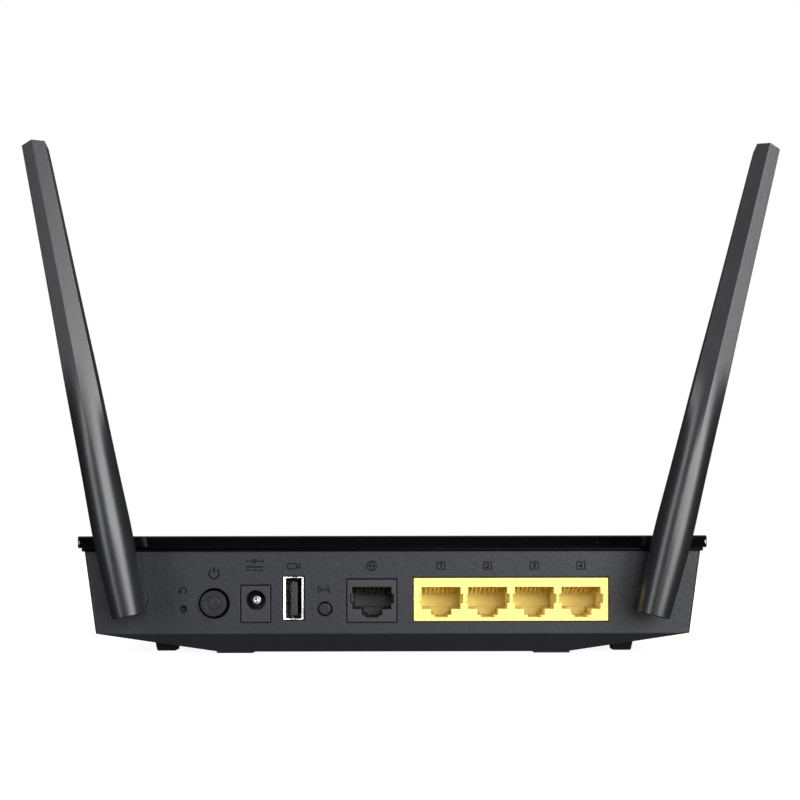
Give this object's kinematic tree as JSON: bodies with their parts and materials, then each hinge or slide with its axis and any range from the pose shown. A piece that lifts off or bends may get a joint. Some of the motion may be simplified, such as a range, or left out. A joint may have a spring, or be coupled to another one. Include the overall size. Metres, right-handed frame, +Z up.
{
  "type": "wireless router",
  "caption": "Low black table-top wireless router with a glossy lid, rear sockets and buttons, and swivelling blade antennas.",
  "frame": {"origin": "middle of the wall-mount keyhole pattern, on the plane of the underside pads and feet", "axes": "+X to the right seen from the rear, along the width; +Y from the rear panel to the front; +Z up"},
  "size_m": [0.2206, 0.1417, 0.151],
  "materials": {
    "case_plastic": "fine matte grain",
    "frame_plastic": "smooth satin",
    "gloss_cover": "piano gloss",
    "antenna_plastic": "satin",
    "button_plastic": "satin",
    "foot_rubber": "matte",
    "screw_steel": "zinc plated",
    "board_laminate": "solder mask",
    "yellow_plastic": "satin",
    "black_plastic": "satin",
    "white_plastic": "satin",
    "contact_gold": "gold plated",
    "tinned_steel": "tin plated",
    "radiator_brass": "drawn tube",
    "cable_jacket": "smooth",
    "chip_resin": "moulded resin",
    "pad_silicone": "soft matte",
    "sink_aluminium": "milled",
    "capacitor_sleeve": "shrink sleeve",
    "lamp_resin": "diffuse",
    "clear_plastic": "clear polished"
  },
  "bodies": {
    "base": {"bottom_case": "case_plastic", "upper_frame": "frame_plastic", "top_cover": "gloss_cover", "rubber_feet": "foot_rubber", "case_screws": "screw_steel", "main_board": "board_laminate", "board_screws": "screw_steel", "lan_jack_housing": "yellow_plastic", "lan_jack_contacts": "contact_gold", "wan_jack_housing": "black_plastic", "wan_jack_contacts": "contact_gold", "usb_shell": "tinned_steel", "usb_tongue": "black_plastic", "usb_contacts": "contact_gold", "dc_jack_housing": "black_plastic", "dc_jack_pin": "tinned_steel", "dc_jack_spring": "tinned_steel", "power_switch_case": "black_plastic", "wps_switch_case": "black_plastic", "reset_switch_case": "black_plastic", "left_pigtail": "cable_jacket", "right_pigtail": "cable_jacket", "antenna_sockets": "contact_gold", "pigtail_plugs": "contact_gold", "processor_chip": "chip_resin", "thermal_pad": "pad_silicone", "heat_sink": "sink_aluminium", "memory_chip": "chip_resin", "flash_chip": "chip_resin", "switch_chip": "chip_resin", "radio_chip": "chip_resin", "radio_shield": "tinned_steel", "network_transformers": "chip_resin", "capacitors": "capacitor_sleeve", "power_inductor": "chip_resin", "crystal": "tinned_steel", "regulator_chips": "chip_resin", "status_leds": "lamp_resin", "light_guide": "clear_plastic"},
    "left_antenna": {"left_antenna_sleeve": "antenna_plastic", "left_antenna_plug": "antenna_plastic", "left_antenna_clip": "screw_steel", "left_radiator": "radiator_brass", "left_feed_cable": "cable_jacket"},
    "right_antenna": {"right_antenna_sleeve": "antenna_plastic", "right_antenna_plug": "antenna_plastic", "right_antenna_clip": "screw_steel", "right_radiator": "radiator_brass", "right_feed_cable": "cable_jacket"},
    "power_push": {"power_button": "button_plastic", "power_switch_stem": "white_plastic"},
    "wps_push": {"wps_button": "button_plastic"},
    "reset_push": {"reset_button": "black_plastic"}
  },
  "joints": [
    {"name": "left_antenna_swing", "type": "hinge", "parent": "base", "child": "left_antenna", "pos_m": [-0.0776, -0.072, 0.0172], "axis": [0, 1, 0], "range_deg": [-78.8, 36.2]},
    {"name": "right_antenna_swing", "type": "hinge", "parent": "base", "child": "right_antenna", "pos_m": [0.0776, -0.072, 0.0172], "axis": [0, 1, 0], "range_deg": [-38.8, 76.2]},
    {"name": "power_button_press", "type": "slide", "parent": "base", "child": "power_push", "axis": [0, 1, 0], "range_m": [0, 0.002], "stiffness_N_per_m": 500},
    {"name": "wps_button_press", "type": "slide", "parent": "base", "child": "wps_push", "axis": [0, 1, 0], "range_m": [0, 0.0003], "stiffness_N_per_m": 500},
    {"name": "reset_button_press", "type": "slide", "parent": "base", "child": "reset_push", "axis": [0, 1, 0], "range_m": [0, 0.0003], "stiffness_N_per_m": 500}
  ]
}
